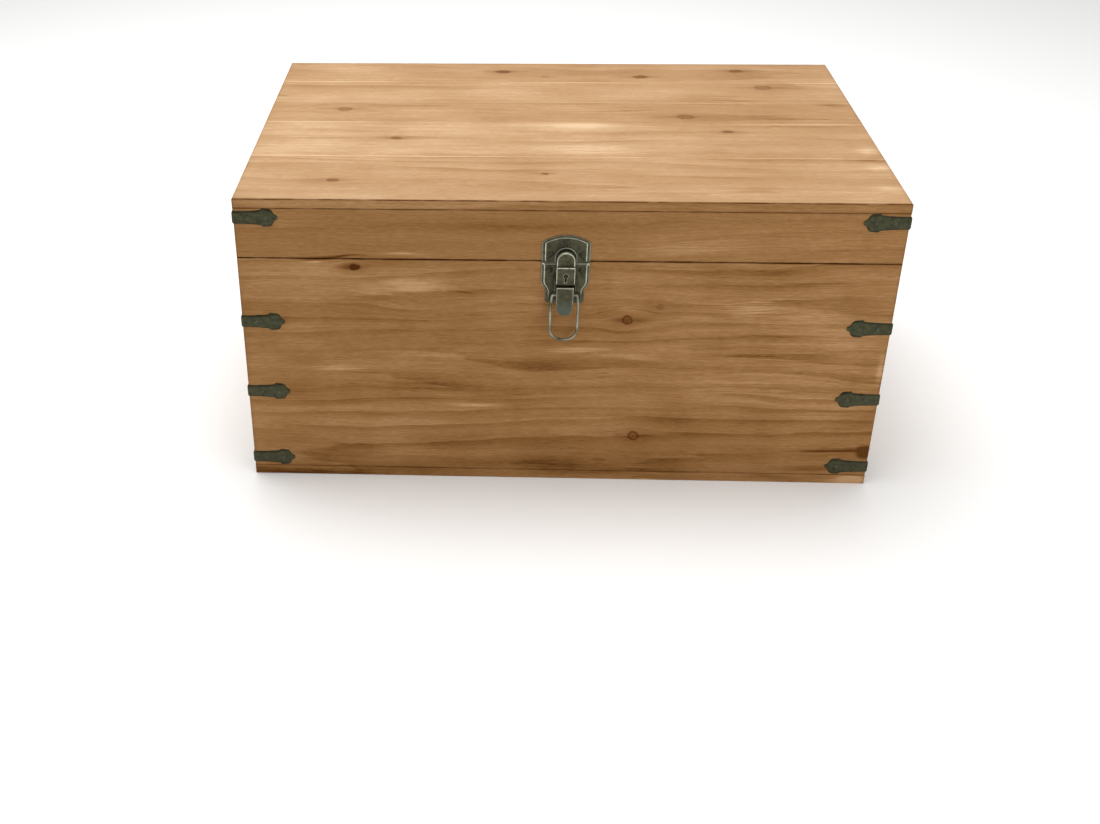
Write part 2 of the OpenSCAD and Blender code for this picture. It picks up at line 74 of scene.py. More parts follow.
class Shader:
    """One procedural material, with short ways to add nodes to it."""

    def __init__(self, name):
        self.material = bpy.data.materials.new(name)
        self.material.use_nodes = True
        self.tree = self.material.node_tree
        self.tree.nodes.clear()
        self.bsdf = self.add("ShaderNodeBsdfPrincipled")
        out = self.add("ShaderNodeOutputMaterial")
        self.tree.links.new(self.bsdf.outputs[0], out.inputs["Surface"])
        metres = self.add("ShaderNodeTexCoord").outputs["Object"]
        self.place = self.vector("MULTIPLY", metres, [1 / MM] * 3)

    def add(self, kind, inputs=None, **settings):
        """A new node, with values or links for its inputs and with its own settings."""
        made = self.tree.nodes.new(kind)
        for key, value in settings.items():
            setattr(made, key, value)
        for key, value in (inputs or {}).items():
            self.put(made.inputs[key], value)
        return made

    def put(self, socket, value):
        if isinstance(value, bpy.types.NodeSocket):
            self.tree.links.new(value, socket)
        else:
            socket.default_value = value

    def math(self, how, a, b=0.0, c=0.0):
        return self.add("ShaderNodeMath", {0: a, 1: b, 2: c}, operation=how).outputs[0]

    def vector(self, how, a, b):
        return self.add("ShaderNodeVectorMath", {0: a, 1: b}, operation=how).outputs[0]

    def times(self, a, b):
        return self.math("MULTIPLY", a, b)

    def square(self, value):
        return self.times(value, value)

    def most(self, first, *others):
        """The largest of the values."""
        for value in others:
            first = self.math("MAXIMUM", first, value)
        return first

    def away(self, value, middle, unit):
        """How many units a value is from a middle."""
        return self.times(self.math("SUBTRACT", value, middle), 1 / unit)

    def total(self, *terms):
        """Sum of (value, weight) pairs."""
        result = 0.0
        for value, weight in terms:
            result = self.math("MULTIPLY_ADD", value, weight, result)
        return result

    def noise(self, lengths, detail=2.0, rough=0.5, shift=0.0, at=None):
        """Noise from about 0 to 1, with features of the given lengths along each axis, in millimetres."""
        scaled = self.vector("MULTIPLY", at or self.place, [1 / length for length in lengths])
        moved = self.vector("ADD", scaled, [shift] * 3)
        inputs = {"Vector": moved, "Scale": 1.0, "Detail": detail, "Roughness": rough}
        return self.add("ShaderNodeTexNoise", inputs).outputs["Fac"]

    def step(self, value, start, end, low=0.0, high=1.0):
        """Smoothly from low at start to high at end."""
        inputs = {"Value": value, "From Min": start, "From Max": end, "To Min": low, "To Max": high}
        return self.add("ShaderNodeMapRange", inputs, interpolation_type="SMOOTHSTEP").outputs["Result"]

    def bell(self, squared):
        """exp(-squared)."""
        return self.math("POWER", math.e, self.times(squared, -1.0))

    def ramp(self, value, stops):
        made = self.add("ShaderNodeValToRGB", {"Fac": value})
        elements = made.color_ramp.elements
        while len(elements) < len(stops):
            elements.new(0.5)
        for element, (place, colour) in zip(elements, stops):
            element.position, element.color = place, (*linear(colour), 1.0)
        return made.outputs["Color"]

    def mix(self, share, a, b, how="MIX"):
        made = self.add("ShaderNodeMix", data_type="RGBA", blend_type=how)
        self.put(made.inputs["Factor"], share)
        for key, value in (("A", a), ("B", b)):
            socket = next(s for s in made.inputs if s.name == key and s.type == "RGBA")
            self.put(socket, value if isinstance(value, bpy.types.NodeSocket) else (*linear(value), 1.0))
        return next(s for s in made.outputs if s.type == "RGBA")

    def attribute(self, name, output="Fac"):
        return self.add("ShaderNodeAttribute", attribute_name=name).outputs[output]

    def finish(self, colour, roughness, height, depth_mm, metallic=0.0, strength=1.0):
        """The finished material, with bumps up to depth_mm high."""
        bump = self.add("ShaderNodeBump", {"Height": height, "Distance": depth_mm * MM, "Strength": strength})
        for key, value in (("Base Color", colour), ("Roughness", roughness), ("Metallic", metallic),
                           ("Normal", bump.outputs["Normal"])):
            self.put(self.bsdf.inputs[key], value)
        return self.material


def linear(hex_colour):
    """Linear RGB of a hex colour."""
    parts = [int(hex_colour[i:i + 2], 16) / 255 for i in (1, 3, 5)]
    return [c / 12.92 if c <= 0.04045 else ((c + 0.055) / 1.055) ** 2.4 for c in parts]


# ---- Pine ----


class Pine(Shader):
    """Stained pine whose grain runs along one axis of its boards.

    u, v and w are the distances along, across and through a board, in millimetres from the chest's origin.
    """

    def __init__(self, name, along, across):
        super().__init__(name)
        self.bsdf.inputs["Specular IOR Level"].default_value = 0.06
        self.along, self.across, self.through = along, across, third_axis(along, across)
        parts = self.add("ShaderNodeSeparateXYZ", {0: self.place}).outputs
        self.u, self.v, self.w = (parts[AXES.index(axis)] for axis in (along, across, self.through))

    def in_order(self, a, b, c):
        """Values for along, across and through the board, in x, y, z order."""
        by_axis = {self.along: a, self.across: b, self.through: c}
        return [by_axis[axis] for axis in AXES]

    def drawn(self, long, fine, **settings):
        """Noise drawn out along the board, with features so long and so fine, in millimetres."""
        return self.noise(self.in_order(long, fine, fine), **settings)

    def add_knots(self, knots):
        """Knots push the grain aside. They show as a dark ring round a browner heart, or as a dark spot."""
        self.bent, self.ring, self.heart, self.halo, self.tail = self.v, 0.0, 0.0, 0.0, 0.0
        wobble = self.drawn(6, 3.5, detail=3.0, shift=3.0)
        for at_u, at_v, radius, dark, filled in knots:
            du, dv = self.away(self.u, at_u, radius), self.away(self.v, at_v, radius)
            du2, dv2 = self.square(du), self.square(dv)
            reach = self.bell(self.total((du2, 0.05), (dv2, 0.13)))
            self.bent = self.math("MULTIPLY_ADD", self.times(dv, reach), -0.7 * radius, self.bent)
            oval = self.math("SQRT", self.total((du2, 1.0 - 0.35 * filled), (dv2, 1.0 + 0.5 * filled)))
            span = self.total((oval, 1.0), (wobble, 1.0), (1.0, -0.5))
            rim = self.times(self.bell(self.square(self.away(span, 0.85, 1 / 4.2))), dark)
            fill = self.step(span, 1.0, 0.2 + 0.6 * filled, 0.0, dark * filled)
            dot = self.step(span, 0.45, 0.1, 0.0, 0.6 * dark)
            self.ring = self.most(self.ring, rim, fill, dot)
            self.heart = self.most(self.heart, self.step(span, 1.05, 0.75, 0.0, dark))
            around = self.bell(self.total((du2, 0.09), (dv2, 0.45)))
            self.halo = self.most(self.halo, self.times(around, dark))
            self.tail = self.most(self.tail, self.times(self.bell(self.total((du2, 0.07), (dv2, 3.5))), dark))

    def add_grain(self, ring_mm):
        """Fibres, streaks and growth rings, which flow along the board, wandering and swelling."""
        sway = self.drawn(230, 48, detail=1.0)
        self.ripple = self.drawn(75, 15, shift=7.0)
        flow = self.total((self.bent, 1.0), (sway, 20.0), (self.ripple, 6.0))
        along_flow = dict(enumerate(self.in_order(self.u, flow, self.w)))
        grain = self.add("ShaderNodeCombineXYZ", along_flow).outputs[0]
        self.fibre = self.drawn(9, 1.0, rough=0.6, shift=1.0)
        self.hair = self.drawn(55, 1.3, rough=0.6, shift=5.0, at=grain)
        streak = self.drawn(230, 5.0, detail=3.0, rough=0.62, shift=11.0, at=grain)
        band = self.drawn(600, 26, shift=9.0, at=grain)
        cloud = self.drawn(70, 40, detail=3.0, shift=13.0)
        fleck = self.step(self.drawn(26, 1.1, detail=1.0, shift=17.0, at=grain), 0.66, 0.8)
        self.shown = self.step(self.drawn(150, 30, detail=1.0, shift=25.0), 0.35, 0.62, 0.25, 1.0)

        # Growth rings lie round the tree's middle, the pith, which runs nearly along the board.
        pith = self.add("ShaderNodeSeparateXYZ", {0: self.attribute("pith", "Vector")}).outputs
        side = self.total((flow, 1.0), (sway, 12.0), (pith[0], -1.0))
        down = self.total((self.w, 1.0), (pith[1], -1.0), (self.u, 0.03), (sway, 14.0))
        radius = self.math("SQRT", self.math("MULTIPLY_ADD", side, side, self.square(down)))
        phase = self.math("FRACT", self.math("MULTIPLY_ADD", streak, 0.5, self.times(radius, 1 / ring_mm)))
        self.late = self.times(self.step(phase, 0.45, 0.93), self.step(phase, 1.0, 0.96))

        fine = self.total((self.fibre, 0.54), (self.hair, 0.38), (1.0, -0.46))
        broad = self.total((self.times(self.late, self.shown), -0.22), (streak, 0.42), (band, 0.44),
                           (cloud, 0.56), (fleck, -0.26), (1.0, -0.67))
        strength = self.math("SUBTRACT", 1.0, self.attribute("calm"))
        self.tone = self.total((fine, 1.0), (self.times(broad, strength), 1.0), (1.0, 0.53),
                               (self.attribute("tone"), 1.0))

    def add_patches(self, patches):
        """Soft lighter and darker places, broken up by the grain."""
        wander = 9.0
        bent = self.total((self.ripple, wander), (self.bent, 1.0))
        broken = self.step(self.hair, 0.3, 0.65, 0.5, 1.2)
        for at_u, at_v, long, high, gain in patches:
            du, dv = self.away(self.u, at_u, long), self.away(bent, at_v + wander / 2, high)
            spot = self.bell(self.total((self.square(du), 1.0), (self.square(dv), 1.0)))
            self.tone = self.math("MULTIPLY_ADD", self.times(spot, broken), gain, self.tone)

    def add_joints(self, joints, outside):
        """Dark lines along the joints, partly stain and partly painted shade where the joints fall in shadow,
        and darkening at the board's ends, outside the chest only.
        """
        self.stain_and_shade = 0.0
        for at_v, half, strength in joints:
            line = self.bell(self.square(self.away(self.v, at_v, half)))
            if strength > 0:
                self.stain_and_shade = self.most(self.stain_and_shade, self.times(line, strength))
            else:
                self.tone = self.math("MULTIPLY_ADD", self.times(line, self.shown), -strength, self.tone)
        if self.along == "x":
            from_end = self.math("SUBTRACT", HALF_W / MM, self.math("ABSOLUTE", self.u))
            self.stain_and_shade = self.most(self.stain_and_shade, self.times(self.bell(self.times(from_end, 0.9)), 0.6))
        from_face = self.math("SUBTRACT", outside, self.math("ABSOLUTE", self.w))
        self.stain_and_shade = self.times(self.stain_and_shade, self.step(from_face, 1.0, 4.0, 1.0, 0.15))

    def add_arris(self, at_v, at_w):
        """An outer edge darkened with stain and painted shade, at a distance across and a distance through.
        """
        in_v = self.math("SUBTRACT", at_v, self.math("ABSOLUTE", self.v))
        in_w = self.math("SUBTRACT", at_w, self.w)
        near = self.bell(self.total((self.square(in_v), 0.5), (self.square(in_w), 0.5)))
        self.stain_and_shade = self.most(self.stain_and_shade, self.times(near, 1.2))

    def paint(self, tones):
        """The finished material."""
        colour = self.ramp(self.tone, list(zip((0.0, 0.32, 0.6, 1.0), tones)))
        colour = self.mix(self.times(self.halo, 0.45), colour, tones.knot)
        streaked = self.times(self.tail, self.step(self.hair, 0.65, 0.4, 0.25, 0.8))
        colour = self.mix(streaked, colour, tones.stain)
        colour = self.mix(self.times(self.heart, 0.55), colour, tones.knot)
        colour = self.mix(self.ring, colour, tones.stain)
        patchy = self.step(self.drawn(24, 24, detail=3.0, shift=21.0), 0.3, 0.65, 0.35, 1.0)
        # Stain and painted shade along the joints and edges, broken up in patches.
        colour = self.mix(self.times(self.stain_and_shade, patchy), colour, tones.stain)
        rough = self.total((self.fibre, 0.16), (self.late, -0.05), (self.heart, -0.1), (1.0, 0.46))
        height = self.total((self.fibre, 0.5), (self.hair, 0.5), (self.late, 0.3), (self.ring, -0.4))
        return self.finish(colour, rough, height, 0.2, strength=0.5)


def pine(name, along, across, tones, outside, knots=(), patches=(), joints=(), ring_mm=11.0, arris=None):
    """Stained pine. along and across are the axes of the grain and of the board's width.

    In millimetres on the board's face, knots are (along, across, radius, darkness, how far the dark fills the
    ring) and patches are (along, across, half length, half width, gain); a few patches are painted light and
    shade. joints are (across, half width, strength) dark lines of stain and painted shade, or lighter lines
    where the stain is worn away if the strength is negative. They lie on the face that is outside millimetres
    from the middle. arris is the (across, through) place of an edge darkened with stain and painted shade.
    """
    s = Pine(name, along, across)
    s.add_knots(knots)
    s.add_grain(ring_mm)
    s.add_patches(patches)
    s.add_joints(joints, outside)
    if arris:
        s.add_arris(*arris)
    return s.paint(tones)


Tones = namedtuple("Tones", "darkest dark light lightest knot stain")
# The walls' tones are darker and more saturated than the top's. They are one stain, with the shade on the
# walls and the light on the top painted into the colours.
WALL_TONES_SHADED = Tones("#5f3810", "#8b6134", "#a3784b", "#c69c70", "#805020", "#522a05")
TOP_TONES_LIT = Tones("#7e572f", "#a17a52", "#b48f69", "#d5b591", "#8f653a", "#684219")
DEEP_TONES = Tones("#47290a", "#6a441c", "#88602f", "#a97c4a", "#6e4318", "#321400")

# Heights in millimetres of the seam, of the joints over the bottom and under the top, and of the top itself.
SEAM, BASE_LINE, LID_LINE = SEAM_Z / MM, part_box("bottom_board")[1].z / MM, TOP_UNDERSIDE / MM
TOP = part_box("top_board_1")[1].z / MM
# The dark lines over the bottom, at the seam, under the top and along the top's edge are stain with painted
# shade.
WALL_JOINTS = [(SEAM + 0.3, 0.9, 1.3), (BASE_LINE, 0.7, 0.8), (LID_LINE, 0.7, 0.85), (TOP, 0.8, 1.4)]
TOP_JOINTS = [(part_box(f"top_board_{i}")[1].y / MM, 1.0, -0.42) for i in range(1, 5)]

FRONT_KNOTS = [
    (59, 177, 4.6, 0.9, 0.3), (72, 51.5, 5.0, 0.85, 0.1), (-192, 228, 3.8, 1.0, 1.0),
    (88, 191, 3.0, 0.3, 0.2)]
FRONT_PALE_PATCHES = [
    (-140, 210, 28, 7, 0.42), (168, 190, 26, 7, 0.42), (60, 184, 13, 3, 0.45), (-78, 83, 22, 2.2, 0.45),
    (12, 144, 26, 2.5, 0.4), (62, 138, 24, 2.5, 0.3), (-100, 136, 55, 5, 0.2), (-215, 122, 30, 3, 0.35),
    (110, 252, 40, 9, 0.2), (170, 110, 70, 16, 0.12), (-150, 29, 95, 8, 0.22), (287, 4, 14, 4, 1.0),
    # (240, 150, 110, 110, 0.1) is painted light: it makes the right of the front lighter, as the light falls.
    (297, 128, 3, 12, 0.5), (240, 150, 110, 110, 0.1), (235, 184, 36, 3, 0.3), (-229, 233, 8, 1.4, 0.5),
    (-150, 241.5, 16, 1.2, 0.5)]
FRONT_DARK_PATCHES = [
    (-20, 128, 34, 8, -0.2), (-66, 93, 18, 1.6, -0.2), (-40, 270, 90, 6, -0.2), (-150, 5, 140, 6, -0.12),
    (0, 45, 260, 40, -0.08), (-270, 4, 100, 6, -0.2), (296, 36, 6, 5.5, -1.4), (262, 36, 28, 1.1, -0.7),
    (245, 18, 40, 3, -0.3), (205, 6, 26, 3, -0.35), (-15, 17, 70, 5, -0.35), (45, 9, 60, 4, -0.35),
    # (-212, 236, 24, 1.8, -0.8) is painted shade, a wider shadow under the seam at the left.
    (-262, 3, 55, 4, -0.5), (-197, 228, 10, 1.3, -0.5), (-212, 236, 24, 1.8, -0.8)]
TOP_KNOTS = [
    (-60, 169, 6.5, 0.8, 1.0), (-13, 152, 4, 0.3, 0.5), (91, 153, 6.5, 0.7, 1.0), (197, 174, 6, 0.75, 1.0),
    (218, 117, 8, 0.5, 0.5), (127, 23, 7.5, 0.65, 0.6), (-223, 42, 6.5, 0.5, 0.5), (-163, -43, 4.5, 0.6, 0.9),
    (-214, -154, 4.5, 0.7, 0.8), (163, -20, 4.5, 0.6, 1.0), (-19, -135, 2.5, 0.7, 1.0)]
TOP_PATCHES = [
    (25, -72, 60, 16, 0.32), (13, -5, 45, 10, 0.28), (-230, 175, 30, 14, 0.2), (-250, -60, 50, 30, 0.15),
    # (200, 0, 130, 190, -0.12) is painted shade: it makes the right of the top darker, as the light falls.
    (200, 0, 130, 190, -0.12), (288, -70, 10, 8, 0.35), (290, -115, 12, 6, 0.35), (286, -95, 16, 5, -0.35),
    (280, 60, 14, 6, -0.3), (286, -165, 14, 8, 0.3)]

front_pine = pine("pine_front", "x", "z", WALL_TONES_SHADED, HALF_D / MM, FRONT_KNOTS,
                  FRONT_PALE_PATCHES + FRONT_DARK_PATCHES, WALL_JOINTS)
top_pine = pine("pine_top", "x", "y", TOP_TONES_LIT, TOP, TOP_KNOTS, TOP_PATCHES, TOP_JOINTS, ring_mm=15.0,
                arris=(HALF_D / MM, TOP))
side_pine = pine(
    "pine_side", "y", "z", WALL_TONES_SHADED, HALF_W / MM, joints=WALL_JOINTS,
    knots=[(-70, 150, 5, 0.8, 0.3), (95, 62, 5.5, 0.8, 0.1), (20, 262, 4, 0.9, 1.0)],
    patches=[(-60, 90, 60, 7, 0.2), (80, 205, 50, 6, 0.22)])
back_pine = pine(
    "pine_back", "x", "z", WALL_TONES_SHADED, HALF_D / MM, joints=WALL_JOINTS,
    knots=[(-120, 150, 6, 0.8, 0.2), (60, 80, 5, 0.8, 0.6), (205, 205, 4, 0.6, 1.0),
           (-30, 262, 4.5, 0.8, 0.9), (150, 30, 5, 0.7, 0.2)],
    patches=[(-60, 190, 60, 8, 0.2), (120, 110, 70, 6, 0.18)])
base_pine = pine(
    "pine_base", "x", "y", DEEP_TONES, BASE_LINE, knots=[(-90, -60, 7, 0.6, 0.3), (140, 80, 6, 0.7, 0.7)],
    patches=[(230, -200, 110, 60, 0.4)])


# ---- Metal ----


BLUED = "#5f6a5d"


def metal(name, dark, light, bright, worn=None, rough=0.42, hammer_mm=0.0, metallic=0.5):
    """Darkened metal whose high edges are worn bright. worn is 0 to 1, or None to read it from the mesh,
    where on some pieces it also paints highlights.
    """
    s = Shader(name)
    s.bsdf.inputs["Specular IOR Level"].default_value = 0.25
    worn = s.attribute("wear") if worn is None else worn
    blotch = s.noise([5, 5, 5], detail=4.0, rough=0.65)
    speck = s.noise([0.8, 0.8, 0.8], detail=3.0, rough=0.7, shift=4.0)
    dents = s.noise([3.4, 3.4, 2.6], detail=1.5, shift=8.0)
    # Worn places are brightened; on some pieces these are painted highlights too.
    rubbed_and_highlit = s.times(worn, s.step(s.total((blotch, 0.7), (speck, 0.5)), 0.35, 0.7, 0.45, 1.0))
    colour = s.mix(s.step(s.total((blotch, 0.75), (speck, 0.45)), 0.4, 0.8), dark, light)
    colour = s.mix(s.attribute("bluing"), colour, BLUED)
    colour = s.mix(rubbed_and_highlit, colour, bright)
    roughness = s.total((speck, 0.25), (rubbed_and_highlit, -0.14), (1.0, rough - 0.1))
    metallic = s.step(rubbed_and_highlit, 0.0, 1.0, metallic, 0.9)
    height = s.total((speck, 0.12), (dents, 1.0 if hammer_mm else 0.3))
    return s.finish(colour, roughness, height, hammer_mm or 0.08, metallic=metallic, strength=0.8)


antique = metal("antique_steel", "#343322", "#595842", "#e0e0cc")
antique_worn = metal("antique_worn", "#55543f", "#77745f", "#c8c8b0", worn=0.8, rough=0.36)
antique_dark = metal("antique_dark", "#1f1e14", "#3a3829", "#7d7b64", worn=0.2)
strap_iron = metal("strap_iron", "#1a1a0c", "#3f3e27", "#5f6047", rough=0.5, hammer_mm=0.35, metallic=0.3)
# The nails' eased rims are bright: partly wear, partly a painted glint on the domed heads.
nail_iron = metal("nail_iron", "#222317", "#434534", "#7a7a66", worn=0.3, rough=0.4)
nail_worn_glint = metal("nail_worn_glint", "#45473a", "#67695a", "#b0b09c", worn=0.8, rough=0.35)
steel = metal("plain_steel", "#77776f", "#96968e", "#c4c4bc", rough=0.38, metallic=0.85)
steel_worn = metal("steel_worn", "#8c8c84", "#a8a8a0", "#d0d0c8", worn=0.8, rough=0.34)


# ---- Mesh helpers ----


def add_mesh(name, points, faces, body, material, stands_for=(), angle=35, attributes=None):
    """A mesh piece in the row frame, from points in metres, that moves with a CAD body.

    Points that fall together are merged, so no face is left without area.
    """
    mesh = bpy.data.meshes.new(name)
    mesh.from_pydata([tuple(p) for p in points], [], faces)
    for key, values in (attributes or {}).items():
        kind = "FLOAT_VECTOR" if np.ndim(values) == 2 else "FLOAT"
        data = mesh.attributes.new(key, kind, "POINT").data
        field = "vector" if kind == "FLOAT_VECTOR" else "value"
        data.foreach_set(field, np.asarray(values, np.float32).ravel())
    work = bmesh.new()
    work.from_mesh(mesh)
    bmesh.ops.remove_doubles(work, verts=work.verts, dist=0.002 * MM)
    bmesh.ops.dissolve_degenerate(work, edges=work.edges, dist=0.001 * MM)
    work.to_mesh(mesh)
    work.free()
    mesh.shade_smooth()
    mesh.set_sharp_from_angle(angle=math.radians(angle))
    mesh.materials.append(material)
    piece = bpy.data.objects.new(name, mesh)
    bpy.context.scene.collection.objects.link(piece)
    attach(piece, body)
    if stands_for:
        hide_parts(*stands_for)
    return piece


def join_loops(loops, closed=True, cap_start=True, cap_end=True):
    """Faces between equal loops of points, with the first and last loop filled if asked."""
    n = len(loops[0])
    faces = []
    for row in range(len(loops) - 1):
        a, b = row * n, (row + 1) * n
        for i in range(n if closed else n - 1):
            j = (i + 1) % n
            faces.append((a + i, a + j, b + j, b + i))
    if cap_start:
        faces.append(tuple(range(n - 1, -1, -1)))
    if cap_end:
        faces.append(tuple(range((len(loops) - 1) * n, len(loops) * n)))
    return [p for loop in loops for p in loop], faces


def off_front(x, out, z):
    """A point in metres from millimetres across, out from the front face, and up."""
    return Vector((x * MM, FRONT - out * MM, z * MM))


# ---- Boards ----


def board_section(low, high, eases, steps=3):
    """Corners of a board's cross-section, each rounded by its own radius, going round from (low, low)."""
    corners = [(low[0], low[1], 1, 1, 180), (high[0], low[1], -1, 1, 270),
               (high[0], high[1], -1, -1, 0), (low[0], high[1], 1, -1, 90)]
    points = []
    for (a, b, in_a, in_b, start), radius in zip(corners, eases):
        for i in range(steps + 1):
            turn = math.radians(start + 90 * i / steps)
            points.append((a + radius * (in_a + math.cos(turn)), b + radius * (in_b + math.sin(turn))))
    return points


def board_stations(length):
    """Distances along a board at which its section is drawn, close together at the ends."""
    ends = (0, 0.25, 0.6, 1.0)
    middle = (i * length / 60 for i in range(1, 60))
    return sorted({*ends, *middle, *(length - s for s in ends)})


def board_wear(s, seed):
    """How far a board's edges are rounded at a distance along it: about 1, and more at the odd dent."""
    broad = abs(noise.noise(Vector((s * 0.05, seed, 0))))
    dent = max(0.0, noise.noise(Vector((s * 0.33, seed, 5))) - 0.25)
    return 0.75 + 0.7 * broad + 0.5 * dent


def board_loops(node, along, across, eases, outer, end_ease, seed):
    """A board's sections, from one end to the other."""
    lo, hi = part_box(node)
    depth = third_axis(along, across)
    ia, ib, iu = AXES.index(across), AXES.index(depth), AXES.index(along)
    length = (hi[iu] - lo[iu]) / MM
    loops = []
    for s in board_stations(length):
        wear = board_wear(s, seed)
        section = board_section((lo[ia], lo[ib]), (hi[ia], hi[ib]), [e * wear * MM for e in eases])
        near_end = max(0.0, 1 - min(s, length - s) / 1.0)
        inset = end_ease * (1 - math.sqrt(max(0.0, 1 - near_end ** 2))) * MM
        loop = []
        for a, b in section:
            if outer == "-" + depth:
                b = max(b, lo[ib] + inset)
            elif outer == "+" + depth:
                b = min(b, hi[ib] - inset)
            point = [0.0, 0.0, 0.0]
            point[ia], point[ib], point[iu] = a, b, lo[iu] + s * MM
            loop.append(point)
        loops.append(loop)
    return loops


def add_board(node, along, across, eases, outer, material, tone=0.0, calm=0.0, end_ease=0.8,
              edge_material=None):
    """A board standing for a CAD board, with its outer edges eased and unevenly worn.

    eases are the radii of its four long edges, going round the section from the low corner. outer is the
    side, such as "-y", whose edges at the board's two ends are eased too. tone lightens the wood, and calm,
    from 0 to 1, weakens its broad grain. edge_material is for a long edge on the chest's front or back.
    """
    rng = random.Random(node)
    ia, ib, iu = (AXES.index(axis) for axis in (across, third_axis(along, across), along))
    points, faces = join_loops(board_loops(node, along, across, eases, outer, end_ease, rng.uniform(0, 100)))
    # These orders of the axes are left-handed, so the faces would point inwards.
    if (iu, ia, ib) in ((0, 2, 1), (1, 0, 2), (2, 1, 0)):
        faces = [f[::-1] for f in faces]
    middle = sum(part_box(node), Vector()) / 2 / MM
    inward = 1 if outer[0] == "-" else -1
    pith = (middle[ia] + rng.uniform(-25, 25), middle[ib] + inward * rng.uniform(25, 60), 0)
    body = "lid" if node.startswith(("lid", "top")) else "chest_body"
    looks = {"pith": pith, "tone": tone + rng.uniform(-0.02, 0.02), "calm": calm}
    board = add_mesh(node + "_pine", points, faces, body, material, [node], angle=50,
                     attributes={key: [value] * len(points) for key, value in looks.items()})
    if edge_material:
        board.data.materials.append(edge_material)
        for face in board.data.polygons:
            face.material_index = int(abs(face.center[ia]) > HALF_D - 0.3 * MM)


for level in ("low", "mid", "high"):
    foot, rim = (0.5 if level == "low" else 0.0), (0.7 if level == "high" else 0.0)
    add_board(f"front_board_{level}", "x", "z", (foot, rim, rim, 0), "-y", front_pine)
    add_board(f"back_board_{level}", "x", "z", (0, rim, rim, foot), "+y", back_pine)
    add_board(f"left_board_{level}", "y", "z", (foot, rim, rim, 0), "-x", side_pine, end_ease=0)
    add_board(f"right_board_{level}", "y", "z", (0, rim, rim, foot), "+x", side_pine, end_ease=0)
add_board("lid_front_board", "x", "z", (0.7, 0.5, 0, 0.7), "-y", front_pine, calm=0.65)
add_board("lid_back_board", "x", "z", (0.7, 0, 0.5, 0.7), "+y", back_pine)
add_board("lid_left_board", "y", "z", (0.7, 0.5, 0, 0.7), "-x", side_pine, end_ease=0)
add_board("lid_right_board", "y", "z", (0.7, 0, 0.5, 0.7), "+x", side_pine, end_ease=0)
TOP_TONE = (0.05, 0.05, -0.01, 0.04, -0.01)
for i in range(1, 6):
    front, back = (1.0 if i == 1 else 0.0), (1.0 if i == 5 else 0.0)
    add_board(f"top_board_{i}", "x", "y", (front / 2, back / 2, back, front), "+z", top_pine,
              tone=TOP_TONE[i - 1], calm=0.22, edge_material={1: front_pine, 5: back_pine}.get(i))
add_board("bottom_board", "x", "y", (0.8, 0.8, 0.5, 0.5), "-z", base_pine, edge_material=front_pine)


# ---- Corner straps ----

STRAP_T = 1.2
STRAP_LEN = 42.0
STRAP_ACROSS = 10
# Half the strap's height at distances from the corner: narrow, then two lobes, a shoulder and a pointed bud.
STRAP_PROFILE = ((0, 6.1), (12, 6.3), (22, 6.9), (26, 7.5), (27.2, 8.8), (28.4, 9.1), (30, 8.8),
                 (33.5, 8.6), (35.4, 8.0), (36.8, 6.4), (37.8, 4.2), (38.4, 3.0), (39.4, 2.6), (40.6, 2.0),
                 (41.5, 1.1), (42, 0.2))


def strap_path(s, out):
    """A place round the corner in plan: s along the middle line from the corner, out over the wood."""
    half_bend = STRAP_T * math.pi / 4
    if abs(s) >= half_bend:
        return (abs(s) - half_bend, -out)
    turn = math.pi / 4 - abs(s) / STRAP_T
    return (-out * math.sin(turn), -out * math.cos(turn))


def strap_row(s, z, side_x, side_y):
    """A strap's points across its height at s along it, each with its wear, from a strap centred at z."""
    half = np.interp(abs(s), *zip(*STRAP_PROFILE))
    ragged = 0.16 * noise.noise(Vector((s * 0.5, z, side_x * 3 + side_y)))
    row = []
    for i in range(STRAP_ACROSS + 1):
        t = -1 + 2 * i / STRAP_ACROSS
        t = math.copysign(abs(t) ** 0.75, t)
        edge = (1 - abs(t) ** 9) * (1 if abs(s) < STRAP_LEN - 0.5 else 0.3)
        dent = 0.1 * noise.noise(Vector((s * 0.33, t * half * 0.33, z + side_x * 7 + side_y * 3)))
        out = max(0.02, (STRAP_T - 0.1 + dent) * edge)
        px, py = strap_path(s, out)
        if s < 0:
            px, py = py, px
        x, y = side_x * (HALF_W - px * MM), side_y * (HALF_D - py * MM)
        row.append(((x, y, (z + t * (half + ragged)) * MM), 0.0 if abs(t) > 0.8 else 0.35))
    return row


def add_straps(name, node, body, heights, side_x, side_y):
    """Straps bent round one upright corner, hammered and slightly cupped, standing for a CAD node."""
    # Places along a leg: close together round the bend, then even.
    leg = [i * 0.24 for i in range(5)] + [1.2 + i * 0.8 for i in range(52)]
    spots = sorted({round(s * sign, 3) for sign in (-1, 1) for s in leg if s <= STRAP_LEN})
    n = STRAP_ACROSS + 1
    points, faces, worn = [], [], []
    for z in heights:
        first = len(points)
        for s in spots:
            for point, wear in strap_row(s, z, side_x, side_y):
                points.append(point)
                worn.append(wear)
        for row in range(len(spots) - 1):
            a = first + row * n
            for i in range(STRAP_ACROSS):
                quad = (a + i, a + n + i, a + n + i + 1, a + i + 1)
                faces.append(quad if side_x * side_y < 0 else quad[::-1])
    add_mesh(name, points, faces, body, strap_iron, [node], angle=60, attributes={"wear": worn})


